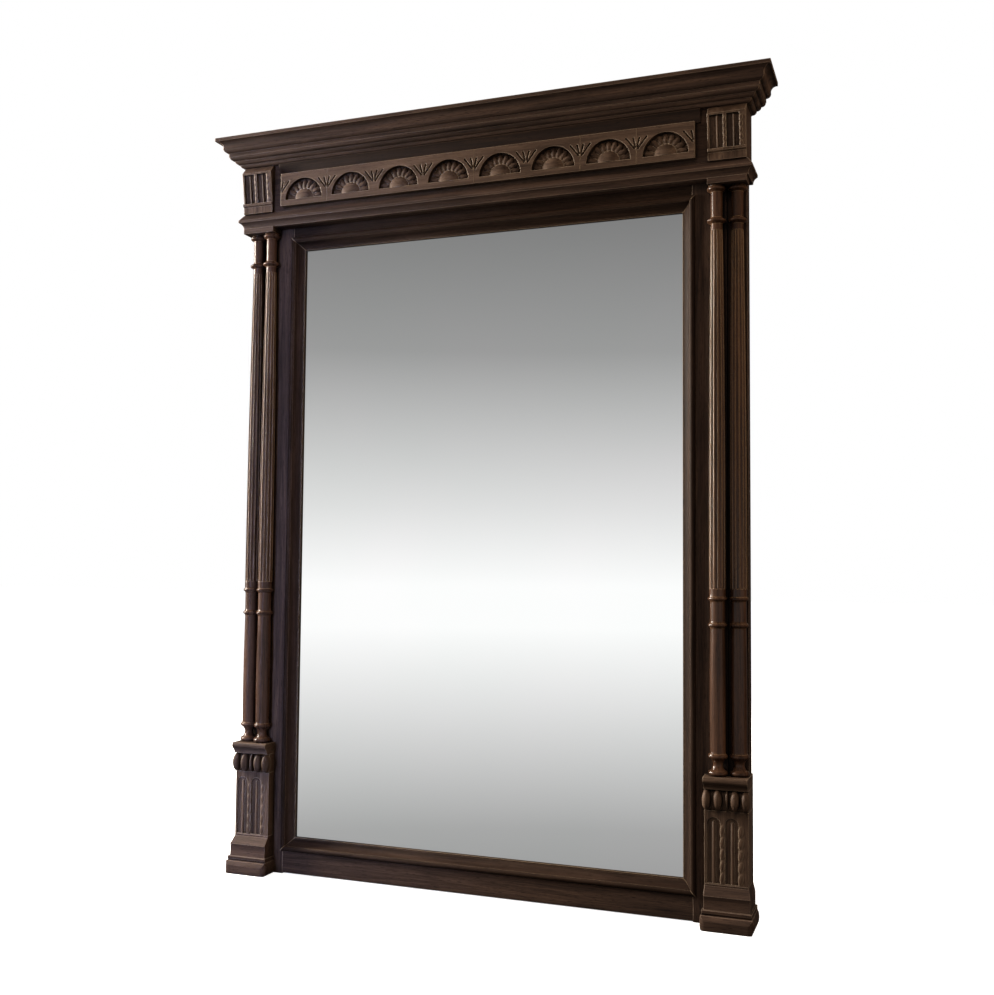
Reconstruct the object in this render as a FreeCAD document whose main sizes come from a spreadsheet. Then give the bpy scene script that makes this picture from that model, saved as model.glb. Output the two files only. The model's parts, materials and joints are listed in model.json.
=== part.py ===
import FreeCAD, Part
import math
import os
import types

import Sketcher

# A carved overmantel mirror: a pegged frame holds the glass behind a bolection moulding,
# twin colonnettes on plinths stand at each side, and an entablature with a carved frieze
# and a cornice crowns it. +X is to the right, +Y into the wall, +Z up, and z = 0 is the mantel.
# A depth is measured forward from the wall, and a place across from the middle.

SIZES = {
    # frame and glass
    "sight_width": 870.0,
    "sight_bottom": 77.5,
    "sight_to_abacus": 37.5,
    "lip_overlap": 22.0,
    "stile_width": 108.0,
    "frame_thickness": 39.0,
    "rail_lift": 2.0,
    "rebate_width": 12.0,
    "rebate_depth": 13.0,
    "board_thickness": 12.0,
    "board_gap": 1.0,
    "glass_thickness": 6.0,
    "glass_gap": 0.5,
    "glass_edge_gap": 2.0,
    "setting_block_length": 60.0,
    "tenon_length": 60.0,
    "tenon_thickness": 12.0,
    "tenon_shoulder": 10.0,
    "tenon_gap": 0.2,
    "peg_radius": 4.0,
    "peg_gap": 0.3,
    "bolection_width": 29.0,
    "bead_width": 12.0,
    "bead_height": 3.5,
    "bead_step": 1.5,
    "sight_fillet": 4.5,
    "cove_start": 3.0,
    "cove_radius": 22.0,
    # plinths
    "die_width": 84.5,
    "die_proud": 2.5,
    "die_depth": 21.0,
    "die_height": 139.0,
    "die_flute_width": 31.0,
    "die_flute_spacing": 40.5,
    "die_flute_depth": 6.0,
    "die_flute_bottom": 8.0,
    "die_flute_top": 16.0,
    "foot_height": 27.5,
    "foot_depth": 46.0,
    "foot_slope": 4.0,
    "foot_curve": 36.0,
    "foot_bulge": 3.0,
    "foot_corner": 11.0,
    "foot_inner_proud": 4.0,
    "foot_outer_proud": 8.0,
    "base_height": 55.0,
    "base_depth": 34.0,
    "base_inner_side": 3.0,
    "base_band_side": 3.7,
    "base_fillet_side": 7.5,
    "base_fillet_proud": 3.0,
    "base_fillet_height": 9.0,
    "base_groove_height": 3.0,
    "base_groove_depth": 1.5,
    "base_band_height": 35.0,
    "base_band_radius": 60.0,
    "base_lip_height": 4.0,
    "egg_height": 41.0,
    "egg_depth": 29.0,
    "egg_bulge": 9.0,
    "cap_height": 24.0,
    "cap_depth": 37.0,
    "cap_bulge": 3.0,
    "cap_slab": 13.0,
    "cap_cove_depth": 7.0,
    "cap_cove_radius": 14.0,
    # colonnettes
    "column_height": 1154.0,
    "column_seat": 30.0,
    "column_flat": 12.0,
    "column_inset": 17.2,
    "column_spacing": 39.5,
    "housing_width": 39.5,
    "pin_radius": 4.5,
    "pin_length": 10.0,
    "pin_gap": 0.3,
    "torus_radius": 18.9,
    "torus_height": 10.5,
    "scotia_radius": 14.2,
    "astragal_height": 33.0,
    "astragal_thickness": 9.0,
    "ring_radius": 18.8,
    "ring_height": 6.5,
    "lower_ring_height": 285.0,
    "ring_spacing": 51.0,
    "cap_ring_drop": 74.0,
    "neck_ring_drop": 10.0,
    "shaft_foot_radius": 15.3,
    "shaft_belly_radius": 14.3,
    "belly_curve": 8200.0,
    "shaft_waist_radius": 14.7,
    "shaft_flute_radius": 16.1,
    "shaft_top_radius": 11.6,
    "entasis_curve": 48000.0,
    "flute_gap": 16.0,
    "flute_radius": 3.4,
    "flute_depth": 1.7,
    "flute_taper": 0.68,
    "flute_count": 12.0,
    # entablature
    "abacus_height": 12.0,
    "abacus_depth": 34.0,
    "abacus_width": 77.0,
    "architrave_height": 33.0,
    "architrave_projection": 12.0,
    "architrave_foot": 3.0,
    "architrave_cove_radius": 14.0,
    "nose_bottom": 14.0,
    "nose_height": 5.0,
    "slope_top": 2.0,
    "frieze_height": 108.0,
    "frieze_thickness": 27.0,
    "frieze_return": 5.0,
    "panel_margin": 25.0,
    "panel_height": 74.0,
    "panel_rise": 8.0,
    "panel_thickness": 14.0,
    "panel_bevel": 2.0,
    "lunette_radius": 47.0,
    "lunette_count": 8.0,
    "lunette_depth": 6.0,
    "lunette_rise": 13.0,
    "lath_margin": 15.0,
    "lath_depth": 10.0,
    "lath_foot_depth": 3.0,
    "lath_curve": 32.0,
    "console_width": 75.0,
    "console_top_depth": 18.0,
    "console_foot_depth": 8.0,
    "console_band_height": 25.0,
    "console_band_proud": 2.5,
    "console_shoulder": 92.0,
    "console_crown_depth": 4.0,
    "console_flute_width": 29.0,
    "console_flute_spacing": 36.5,
    "console_flute_depth": 5.0,
    "console_flute_margin": 5.0,
    "bed_height": 23.0,
    "bed_projection": 28.5,
    "bed_foot": 2.0,
    "reed_count": 3.0,
    "reed_radius": 7.6,
    "reed_lift": 1.0,
    "shelf_overhang": 19.0,
    "shelf_thickness": 12.0,
    "crown_height": 39.0,
    "crown_projection": 33.5,
    "crown_foot": 10.5,
    "crown_fillet": 8.5,
    "crown_lip": 2.0,
    "crown_top": 7.5,
    "crown_hip": 20.0,
    "crown_waist": 19.0,
    "cyma_low_radius": 9.0,
    "cyma_high_radius": 11.0,
    "glue_block_size": 20.0,
    "glue_block_length": 60.0,
    "glue_block_margin": 89.0,
    # fixings on the back
    "plate_width": 40.0,
    "plate_height": 100.0,
    "plate_thickness": 2.5,
    "plate_inset": 1.2,
    "plate_from_edge": 57.0,
    "plate_drop": 105.0,
    "plate_gap": 0.2,
    "hook_radius": 5.0,
    "hook_pocket_radius": 11.0,
    "hook_pocket_depth": 15.0,
    "screw_radius": 2.0,
    "screw_gap": 0.3,
    "screw_head_radius": 4.0,
    "screw_length": 24.0,
    "plate_screw_spacing": 70.0,
    "board_screw_margin": 6.0,
    "board_screw_inset": 70.0,
}


class Size:
    """A length with its number and the sheet expression that gives it."""

    def __init__(self, text, number):
        self.text = text
        self.number = number

    def __add__(self, other):
        other = as_size(other)
        return Size(f"({self.text} + {other.text})", self.number + other.number)

    def __sub__(self, other):
        other = as_size(other)
        return Size(f"({self.text} - {other.text})", self.number - other.number)

    def __mul__(self, other):
        other = as_size(other)
        return Size(f"({self.text} * {other.text})", self.number * other.number)

    def __truediv__(self, other):
        other = as_size(other)
        return Size(f"({self.text} / {other.text})", self.number / other.number)

    def __neg__(self):
        return self * -1

    __rmul__ = __mul__


def as_size(value):
    if isinstance(value, Size):
        return value
    return Size(f"({value})", float(value))


doc = FreeCAD.newDocument("trumeau_mirror")
sheet = doc.addObject("Spreadsheet::Sheet", "Sizes")
for row, (alias, number) in enumerate(SIZES.items(), start=1):
    sheet.set(f"A{row}", alias)
    sheet.set(f"B{row}", str(number))
    sheet.setAlias(f"B{row}", alias)
doc.recompute()
size = types.SimpleNamespace(**{alias: Size(f"Sizes.{alias}", SIZES[alias]) for alias in SIZES})

ZERO = as_size(0)
SIDES = {"left": -1, "right": 1}
PROUD = 1
HOLLOW = -1
sub_parts = []

# Levels, stacked from the mantel upwards
foot_top = size.foot_height
base_top = foot_top + size.base_height
die_top = base_top + size.die_height
egg_top = die_top + size.egg_height
cap_top = egg_top + size.cap_height
abacus_bottom = cap_top + size.column_height
architrave_bottom = abacus_bottom + size.abacus_height
frieze_bottom = architrave_bottom + size.architrave_height
bed_bottom = frieze_bottom + size.frieze_height
shelf_bottom = bed_bottom + size.bed_height
crown_top = shelf_bottom + size.crown_height
sight_top = abacus_bottom - size.sight_to_abacus

# Places across, from the middle
sight_side = size.sight_width / 2
frame_inner = sight_side + size.lip_overlap
frame_outer = frame_inner + size.stile_width
die_outer = frame_outer + size.die_proud
die_inner = die_outer - size.die_width
die_middle = die_outer - size.die_width / 2
frieze_side = frame_outer + size.frieze_return
shelf_side = frieze_side + size.shelf_overhang
console_inner = frieze_side - size.console_width
column_outer_x = frame_outer - size.column_inset
column_inner_x = column_outer_x - size.column_spacing

# Depths forward from the wall
frame_front = size.frame_thickness
frieze_front = frame_front + size.frieze_thickness
shelf_front = frieze_front + size.shelf_overhang
overall_depth = shelf_front + size.crown_projection
glass_back = size.rebate_depth + size.glass_gap
glass_front = glass_back + size.glass_thickness


def at(depth):
    """The y of a depth measured forward from the wall."""
    return overall_depth / 2 - depth


def across(side, near, far):
    """The x range between two distances from the middle, on one side."""
    if side > 0:
        return near, far
    return -far, -near


def keep(feature):
    """Lists a finished sub-part for writing."""
    sub_parts.append(feature)
    return feature


def bind_place(feature, x, y, z):
    for axis, value in zip("xyz", (x, y, z)):
        feature.setExpression(f"Placement.Base.{axis}", value.text)


def box(label, x_range, depth_range, z_range):
    """A block between two places across, two depths and two levels."""
    block = doc.addObject("Part::Box", label)
    block.Label = label
    block.setExpression("Length", (x_range[1] - x_range[0]).text)
    block.setExpression("Width", (depth_range[1] - depth_range[0]).text)
    block.setExpression("Height", (z_range[1] - z_range[0]).text)
    bind_place(block, x_range[0], at(depth_range[1]), z_range[0])
    return block


def rod(label, x, depth, z, radius, length, upright=False):
    """A round bar from a point at a depth: upright, or running forward from it."""
    bar = doc.addObject("Part::Cylinder", label)
    bar.Label = label
    if not upright:
        bar.Placement = FreeCAD.Placement(
            FreeCAD.Vector(), FreeCAD.Rotation(FreeCAD.Vector(1, 0, 0), 90)
        )
    bar.setExpression("Radius", radius.text)
    bar.setExpression("Height", length.text)
    bind_place(bar, x, at(depth), z)
    return bar


def fuse(label, shapes):
    joined = doc.addObject("Part::MultiFuse", label)
    joined.Label = label
    joined.Shapes = shapes
    return joined


def cut(label, base, tools):
    """A piece with several cutting shapes taken out of it."""
    result = doc.addObject("Part::Cut", label)
    result.Label = label
    result.Base = base
    result.Tool = tools[0] if len(tools) == 1 else fuse(f"{label}_cuts", tools)
    return result


def group(label, solids):
    """Identical small pieces that share one node."""
    together = doc.addObject("Part::Compound", label)
    together.Label = label
    together.Links = solids
    return together


def arc_middle(start, end, radius, turn):
    """The middle of the short arc between two points; turn 1 swells left of the way, -1 right."""
    along = end - start
    half = along.Length / 2
    rise = radius - math.sqrt(radius * radius - half * half)
    left = FreeCAD.Vector(-along.y, along.x, 0).normalize()
    return (start + end) * 0.5 + left * (rise * turn)


def bulge_radius(chord, rise):
    """The radius of an arc from its width and its height."""
    return (chord * chord / 4 + rise * rise) / (rise * 2)


def outline(body, name, plane_role, points, offset):
    """A closed sketch whose corners are (a, b), or (a, b, radius, PROUD or HOLLOW) where an arc starts."""
    sketch = body.newObject("Sketcher::SketchObject", name)
    plane = [item for item in body.Origin.OriginFeatures if item.Role == plane_role][0]
    sketch.AttachmentSupport = (plane, [""])
    sketch.MapMode = "FlatFace"
    sketch.setExpression("AttachmentOffset.Base.z", offset.text)
    count = len(points)
    corners = [FreeCAD.Vector(point[0].number, point[1].number, 0) for point in points]
    area = sum(corners[i - 1].cross(corners[i]).z for i in range(count))
    outward = -1 if area > 0 else 1
    for index, point in enumerate(points):
        start, end = corners[index], corners[(index + 1) % count]
        if len(point) == 4:
            turn = outward * point[3]
            middle = arc_middle(start, end, point[2].number, turn)
            # arcs are drawn anticlockwise
            if turn > 0:
                start, end = end, start
            sketch.addGeometry(Part.Arc(start, middle, end), False)
        else:
            sketch.addGeometry(Part.LineSegment(start, end), False)
    # An arc may have been drawn backwards, so the end at each corner is looked up first.
    first = [1 if (edge.StartPoint - corners[i]).Length < (edge.EndPoint - corners[i]).Length else 2
             for i, edge in enumerate(sketch.Geometry)]
    rules = []
    bound = []
    for index in range(count):
        following = (index + 1) % count
        rules.append(
            Sketcher.Constraint("Coincident", index, 3 - first[index], following, first[following])
        )
    for index, point in enumerate(points):
        for kind, value in zip(("DistanceX", "DistanceY"), point[:2]):
            bound.append((len(rules), value))
            rules.append(Sketcher.Constraint(kind, -1, 1, index, first[index], value.number))
        if len(point) == 4:
            bound.append((len(rules), point[2]))
            rules.append(Sketcher.Constraint("Radius", index, point[2].number))
    sketch.addConstraint(rules)
    for number, value in bound:
        sketch.setExpression(f"Constraints[{number}]", value.text)
    return sketch


def new_body(label):
    body = doc.addObject("PartDesign::Body", label)
    body.Label = label
    return body


def pad(body, sketch, length):
    feature = body.newObject("PartDesign::Pad", f"{sketch.Name}_pad")
    feature.Profile = sketch
    feature.setExpression("Length", length.text)
    doc.recompute()
    return feature


def pocket(body, sketch, length):
    """Cuts against the sketch's normal, and makes sure that something was cut."""
    before = body.Shape.Volume
    feature = body.newObject("PartDesign::Pocket", f"{sketch.Name}_cut")
    feature.Profile = sketch
    feature.setExpression("Length", length.text)
    doc.recompute()
    if body.Shape.Volume >= before:
        raise RuntimeError(f"{sketch.Name} cut nothing")
    return feature


def bar_across(label, points, x_range):
    """A moulded bar that runs across: its section is drawn in depth and level."""
    body = new_body(label)
    section = [(at(point[0]), *point[1:]) for point in points]
    sketch = outline(body, f"{label}_section", "YZ_Plane", section, x_range[0])
    pad(body, sketch, x_range[1] - x_range[0])
    return body


# Frame: two stiles and two rails, joined by pegged mortises and tenons

def tenon_range(rail_range):
    return rail_range[0] + size.tenon_shoulder, rail_range[1] - size.tenon_shoulder


bottom_rail_range = (size.rail_lift, size.sight_bottom - size.lip_overlap)
top_rail_range = (sight_top + size.lip_overlap, shelf_bottom)
rail_ranges = {"bottom": bottom_rail_range, "top": top_rail_range}
tenon_back = (size.rebate_depth + frame_front - size.tenon_thickness) / 2
tenon_front = tenon_back + size.tenon_thickness
rebate_side = frame_inner + size.rebate_width
board_bottom = bottom_rail_range[1] - size.rebate_width
board_top = top_rail_range[0] + size.rebate_width


def peg_places():
    """Where the pegs go through the tenons: two in each joint."""
    for side in SIDES.values():
        for rail_range in rail_ranges.values():
            low, high = tenon_range(rail_range)
            x = (frame_inner + size.tenon_length / 2) * side
            for share in (0.28, 0.72):
                yield side, x, low + (high - low) * share


def peg_holes(label, side=None):
    radius = size.peg_radius + size.peg_gap
    return [
        rod(f"{label}_peg_hole_{index}", x, ZERO, z, radius, frame_front)
        for index, (peg_side, x, z) in enumerate(peg_places())
        if side in (None, peg_side)
    ]


def rail(name):
    label = f"{name}_rail"
    low, high = rail_ranges[name]
    tenon_low, tenon_high = tenon_range((low, high))
    reach = frame_inner + size.tenon_length - size.tenon_gap
    bar = box(f"{label}_bar", (-frame_inner, frame_inner), (ZERO, frame_front), (low, high))
    tongue = box(
        f"{label}_tenon",
        (-reach, reach),
        (tenon_back + size.tenon_gap, tenon_front - size.tenon_gap),
        (tenon_low + size.tenon_gap, tenon_high - size.tenon_gap),
    )
    rebate_z = (board_bottom, high) if name == "bottom" else (low, board_top)
    rebate = box(
        f"{label}_rebate", (-rebate_side, rebate_side), (ZERO, size.rebate_depth), rebate_z
    )
    tools = [rebate, *peg_holes(label)]
    tools += [
        rod(f"{label}_pilot_{index}", x, ZERO, z, size.screw_radius + size.screw_gap, size.screw_length)
        for index, (rail_name, x, z) in enumerate(board_screw_places())
        if rail_name == name
    ]
    return keep(cut(label, fuse(f"{label}_blank", [bar, tongue]), tools))


def plate_centre(side):
    return (frame_outer - size.plate_from_edge) * side, abacus_bottom - size.plate_drop


def plate_screw_places(side):
    x, z = plate_centre(side)
    for way in (-1, 1):
        yield x, z + size.plate_screw_spacing / 2 * way


def stile(name, side):
    label = f"{name}_stile"
    plank = box(
        f"{label}_plank", across(side, frame_inner, frame_outer), (ZERO, frame_front), (ZERO, shelf_bottom)
    )
    rebate = box(
        f"{label}_rebate",
        across(side, frame_inner, rebate_side),
        (ZERO, size.rebate_depth),
        (board_bottom, board_top),
    )
    housing = box(
        f"{label}_housing",
        across(side, frame_outer - size.housing_width, frame_outer),
        (size.column_seat, frame_front),
        (cap_top, abacus_bottom),
    )
    tools = [rebate, housing, *peg_holes(label, side)]
    for rail_name, rail_range in rail_ranges.items():
        tools.append(
            box(
                f"{label}_{rail_name}_mortise",
                across(side, frame_inner, frame_inner + size.tenon_length),
                (tenon_back, tenon_front),
                tenon_range(rail_range),
            )
        )
    plate_x, plate_z = plate_centre(side)
    half_width = size.plate_width / 2 + size.plate_gap
    half_height = size.plate_height / 2 + size.plate_gap
    recess_depth = size.plate_inset + size.plate_thickness
    tools.append(
        box(
            f"{label}_plate_recess",
            (plate_x - half_width, plate_x + half_width),
            (ZERO, recess_depth),
            (plate_z - half_height, plate_z + half_height),
        )
    )
    tools.append(
        rod(
            f"{label}_hook_pocket",
            plate_x,
            recess_depth,
            plate_z,
            size.hook_pocket_radius,
            size.hook_pocket_depth,
        )
    )
    for index, (x, z) in enumerate(plate_screw_places(side)):
        tools.append(
            rod(f"{label}_pilot_{index}", x, ZERO, z, size.screw_radius + size.screw_gap, size.screw_length)
        )
    return keep(cut(label, plank, tools))


def board_width():
    return (rebate_side * 2 - size.board_gap * 4) / 3


def board_screw_places():
    """One screw near each corner of each back board, into the rails."""
    width = board_width()
    for index in range(3):
        left = -rebate_side + size.board_gap + (width + size.board_gap) * index
        for x in (left + size.board_screw_inset, left + width - size.board_screw_inset):
            yield "bottom", x, board_bottom + size.board_screw_margin
            yield "top", x, board_top - size.board_screw_margin


def back_board(index, name):
    label = f"{name}_back_board"
    width = board_width()
    left = -rebate_side + size.board_gap + (width + size.board_gap) * index
    front = size.rebate_depth
    back = front - size.board_thickness
    board = box(
        f"{label}_plank",
        (left, left + width),
        (back, front),
        (board_bottom + size.board_gap, board_top - size.board_gap),
    )
    holes = [
        rod(f"{label}_hole_{number}", x, ZERO, z, size.screw_radius + size.screw_gap, front)
        for number, (_, x, z) in enumerate(board_screw_places())
        if left.number < x.number < (left + width).number
    ]
    return keep(cut(label, board, holes))


def screw(label, x, head_back, head_front, z):
    """A flat-headed screw driven from behind."""
    head = rod(f"{label}_head", x, head_back, z, size.screw_head_radius, head_front - head_back)
    reach = size.screw_length - size.plate_inset
    shank = rod(f"{label}_shank", x, head_back, z, size.screw_radius, reach)
    return fuse(label, [head, shank])


for side_name, side_sign in SIDES.items():
    stile(side_name, side_sign)
for rail_name in rail_ranges:
    rail(rail_name)
keep(
    group(
        "tenon_pegs",
        [
            rod(f"peg_{index}", x, ZERO, z, size.peg_radius, frame_front)
            for index, (_, x, z) in enumerate(peg_places())
        ],
    )
)

# Bolection moulding round the sight, mitred at the corners

def bolection_section():
    """Points as (distance out from the sight edge, depth)."""
    bead_start = size.bolection_width - size.bead_width
    bead_radius = bulge_radius(size.bead_width, size.bead_height)
    return [
        (ZERO, glass_front),
        (ZERO, glass_front + size.sight_fillet),
        (size.cove_start, glass_front + size.sight_fillet, size.cove_radius, HOLLOW),
        (bead_start, frame_front + size.bead_step, bead_radius, PROUD),
        (size.bolection_width, frame_front),
        (size.lip_overlap, frame_front),
        (size.lip_overlap, glass_front),
    ]


def mitre_front(body, corners):
    """Takes triangles off a bar, seen from the front, right through its thickness."""
    face = frame_front + size.bead_step + size.bead_height
    for index, triangle in enumerate(corners):
        sketch = outline(body, f"{body.Label}_mitre_{index}", "XZ_Plane", triangle, -at(face))
        pocket(body, sketch, face)


def sight_upright(name, side):
    body = new_body(f"{name}_sight_moulding")
    low = size.sight_bottom - size.bolection_width
    high = sight_top + size.bolection_width
    section = [
        ((sight_side + point[0]) * side, at(point[1]), *point[2:]) for point in bolection_section()
    ]
    sketch = outline(body, f"{name}_sight_section", "XY_Plane", section, low)
    pad(body, sketch, high - low)
    outer = sight_side + size.bolection_width
    mitre_front(
        body,
        [
            [(sight_side * side, low), (outer * side, low), (sight_side * side, size.sight_bottom)],
            [(sight_side * side, high), (outer * side, high), (sight_side * side, sight_top)],
        ],
    )
    return keep(body)


def sight_level(name, edge, way):
    body = new_body(f"{name}_sight_moulding")
    outer = sight_side + size.bolection_width
    section = [(at(point[1]), edge + point[0] * way, *point[2:]) for point in bolection_section()]
    sketch = outline(body, f"{name}_sight_section", "YZ_Plane", section, -outer)
    pad(body, sketch, outer * 2)
    far = edge + size.bolection_width * way
    mitre_front(
        body,
        [
            [(sight_side * end, edge), (outer * end, edge), (outer * end, far)]
            for end in SIDES.values()
        ],
    )
    return keep(body)


for side_name, side_sign in SIDES.items():
    sight_upright(side_name, side_sign)
sight_level("bottom", size.sight_bottom, -1)
sight_level("top", sight_top, 1)

# Glass, its setting blocks and the back boards

glass_side = frame_inner - size.glass_edge_gap
glass_bottom = bottom_rail_range[1] + size.glass_edge_gap
glass_top = top_rail_range[0] - size.glass_edge_gap
keep(box("mirror_glass", (-glass_side, glass_side), (glass_back, glass_front), (glass_bottom, glass_top)))
setting_blocks = []
for side_name, side_sign in SIDES.items():
    near = glass_side / 2
    setting_blocks.append(
        box(
            f"{side_name}_setting_block",
            across(side_sign, near, near + size.setting_block_length),
            (glass_back, glass_front),
            (bottom_rail_range[1], glass_bottom),
        )
    )
keep(group("glass_setting_blocks", setting_blocks))
for board_index, board_name in enumerate(("left", "middle", "right")):
    back_board(board_index, board_name)
board_back = size.rebate_depth - size.board_thickness
keep(
    group(
        "back_board_screws",
        [
            screw(f"board_screw_{index}", x, ZERO, board_back, z)
            for index, (_, x, z) in enumerate(board_screw_places())
        ],
    )
)


def hanging_plate(name, side):
    """An iron plate let into the back of a stile, with a round hole for a wall hook."""
    label = f"{name}_hanging_plate"
    x, z = plate_centre(side)
    back = size.plate_inset
    blank = box(
        f"{label}_blank",
        (x - size.plate_width / 2, x + size.plate_width / 2),
        (back, back + size.plate_thickness),
        (z - size.plate_height / 2, z + size.plate_height / 2),
    )
    holes = [rod(f"{label}_hook_hole", x, back, z, size.hook_radius, size.plate_thickness)]
    for index, (screw_x, screw_z) in enumerate(plate_screw_places(side)):
        radius = size.screw_radius + size.screw_gap
        holes.append(rod(f"{label}_hole_{index}", screw_x, back, screw_z, radius, size.plate_thickness))
    return keep(cut(label, blank, holes))


plate_screws = []
for side_name, side_sign in SIDES.items():
    hanging_plate(side_name, side_sign)
    for screw_index, (screw_x, screw_z) in enumerate(plate_screw_places(side_sign)):
        plate_screws.append(
            screw(f"{side_name}_plate_screw_{screw_index}", screw_x, ZERO, size.plate_inset, screw_z)
        )
keep(group("plate_screws", plate_screws))

# Plinths: foot, base moulding, fluted die, egg band and cap, stacked in front of each stile

def bar_forward(label, points, depth_range):
    """A bar that runs forward from the wall: its section is drawn across and in level."""
    body = new_body(label)
    sketch = outline(body, f"{label}_section", "XZ_Plane", points, -at(depth_range[0]))
    pad(body, sketch, depth_range[1] - depth_range[0])
    return body


def bar_up(label, points, level_range):
    """An upright bar: its section is the plan, drawn across and in depth."""
    body = new_body(label)
    plan = [(point[0], at(point[1]), *point[2:]) for point in points]
    sketch = outline(body, f"{label}_plan", "XY_Plane", plan, level_range[0])
    pad(body, sketch, level_range[1] - level_range[0])
    return body


def common(label, first, second):
    """What two bars share: a block moulded on its front and on its sides."""
    shared = doc.addObject("Part::Common", label)
    shared.Label = label
    shared.Base = first
    shared.Tool = second
    return shared


def stile_room(label, side, level_range):
    """The room left behind a plinth piece for the stile that it returns past."""
    return box(f"{label}_stile_room", across(side, ZERO, frame_outer), (ZERO, frame_front), level_range)


def with_return(label, piece, side, level_range):
    """Adds the thin side that runs back to the wall past the stile."""
    side_range = across(side, frame_outer, die_outer)
    return fuse(label, [piece, box(f"{label}_return", side_range, (ZERO, frame_front), level_range)])


def foot(name, side):
    """The foot swells forward and sideways, and its outer side runs back to the wall past the stile."""
    label = f"{name}_foot"
    low_front = frame_front + size.foot_depth
    top_front = low_front - size.foot_slope
    reach = low_front + size.foot_slope
    front = bar_across(
        f"{label}_front",
        [(ZERO, ZERO), (low_front, ZERO, size.foot_curve, PROUD), (top_front, foot_top), (ZERO, foot_top)],
        across(side, ZERO, die_outer + size.foot_outer_proud + size.foot_bulge),
    )
    inner = (die_inner - size.foot_inner_proud) * side
    outer = (die_outer + size.foot_outer_proud) * side
    swell = bulge_radius(size.foot_height, size.foot_bulge)
    sides = bar_forward(
        f"{label}_sides",
        [(inner, ZERO), (outer, ZERO, swell, PROUD), (outer, foot_top), (inner, foot_top, swell, PROUD)],
        (ZERO, reach),
    )
    corner = size.foot_corner
    least = inner - size.foot_bulge * side
    most = outer + size.foot_bulge * side
    plan = bar_up(
        f"{label}_plan",
        [
            (least, ZERO),
            (least, low_front - corner, corner, PROUD),
            (least + corner * side, low_front),
            (most - corner * side, low_front, corner, PROUD),
            (most, low_front - corner),
            (most, ZERO),
        ],
        (ZERO, foot_top),
    )
    block = common(f"{label}_block", common(f"{label}_moulded", front, sides), plan)
    return keep(cut(label, block, [stile_room(label, side, (ZERO, foot_top))]))


def base_moulding(name, side):
    label = f"{name}_plinth_base"
    band = frame_front + size.base_depth
    fillet = band + size.base_fillet_proud
    groove = fillet - size.base_groove_depth
    die_front = frame_front + size.die_depth
    groove_top = foot_top + size.base_groove_height
    fillet_top = foot_top + size.base_fillet_height
    band_top = foot_top + size.base_band_height
    lip = base_top - size.base_lip_height
    front = bar_across(
        f"{label}_front",
        [
            (ZERO, foot_top),
            (groove, foot_top),
            (groove, groove_top),
            (fillet, groove_top),
            (fillet, fillet_top),
            (band, fillet_top, size.base_band_radius, HOLLOW),
            (band, band_top),
            (die_front, lip),
            (die_front, base_top),
            (ZERO, base_top),
        ],
        across(side, ZERO, die_outer + size.base_fillet_side),
    )
    across_points = [
        (die_inner - size.base_inner_side, foot_top),
        (die_outer + size.base_fillet_side, foot_top),
        (die_outer + size.base_fillet_side, fillet_top),
        (die_outer + size.base_band_side, fillet_top),
        (die_outer + size.base_band_side, band_top),
        (die_outer, lip),
        (die_outer, base_top),
        (die_inner, base_top),
        (die_inner, fillet_top),
        (die_inner - size.base_inner_side, fillet_top),
    ]
    sides = bar_forward(
        f"{label}_sides", [(x * side, level) for x, level in across_points], (ZERO, fillet)
    )
    block = common(f"{label}_block", front, sides)
    return keep(cut(label, block, [stile_room(label, side, (foot_top, base_top))]))


def die(name, side):
    label = f"{name}_plinth_die"
    body = new_body(f"{label}_front")
    x_low, x_high = across(side, die_inner, die_outer)
    front = frame_front + size.die_depth
    section = [
        (at(frame_front), base_top),
        (at(front), base_top),
        (at(front), die_top),
        (at(frame_front), die_top),
    ]
    pad(body, outline(body, f"{name}_die_section", "YZ_Plane", section, x_low), x_high - x_low)
    half = size.die_flute_width / 2
    low = base_top + size.die_flute_bottom
    spring = die_top - size.die_flute_top - half
    for index, way in enumerate((-1, 1)):
        middle = die_middle * side + size.die_flute_spacing / 2 * way
        crown = spring + half
        slot = [
            (middle - half, low),
            (middle + half, low),
            (middle + half, spring, half, PROUD),
            (middle, crown, half, PROUD),
            (middle - half, spring),
        ]
        sketch = outline(body, f"{name}_die_flute_{index}", "XZ_Plane", slot, -at(front))
        pocket(body, sketch, size.die_flute_depth)
    return keep(with_return(label, body, side, (base_top, die_top)))


def egg_band(name, side):
    front = frame_front + size.egg_depth
    radius = bulge_radius(size.egg_height, size.egg_bulge)
    section = [
        (frame_front, die_top),
        (front, die_top, radius, PROUD),
        (front, egg_top),
        (frame_front, egg_top),
    ]
    label = f"{name}_egg_band"
    front_bar = bar_across(f"{label}_front", section, across(side, die_inner, die_outer))
    return keep(with_return(label, front_bar, side, (die_top, egg_top)))


def cap(name, side):
    label = f"{name}_plinth_cap"
    front = frame_front + size.cap_depth
    slab_bottom = cap_top - size.cap_slab
    cove_back = front - size.cap_cove_depth
    radius = bulge_radius(size.cap_slab, size.cap_bulge)
    section = [
        (frame_front, egg_top),
        (cove_back, egg_top, size.cap_cove_radius, HOLLOW),
        (front, slab_bottom, radius, PROUD),
        (front, cap_top),
        (frame_front, cap_top),
    ]
    slab = bar_across(f"{label}_slab", section, across(side, die_inner, die_outer))
    pin_room = size.pin_length + size.pin_gap
    pin_hole = rod(
        f"{label}_pin_hole",
        column_inner_x * side,
        frame_front + size.column_flat,
        cap_top - pin_room,
        size.pin_radius + size.pin_gap,
        pin_room,
        True,
    )
    drilled = cut(f"{label}_drilled", slab, [pin_hole])
    return keep(with_return(label, drilled, side, (egg_top, cap_top)))


# Colonnettes: turned, flattened at the back, fluted above the upper ring

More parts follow.
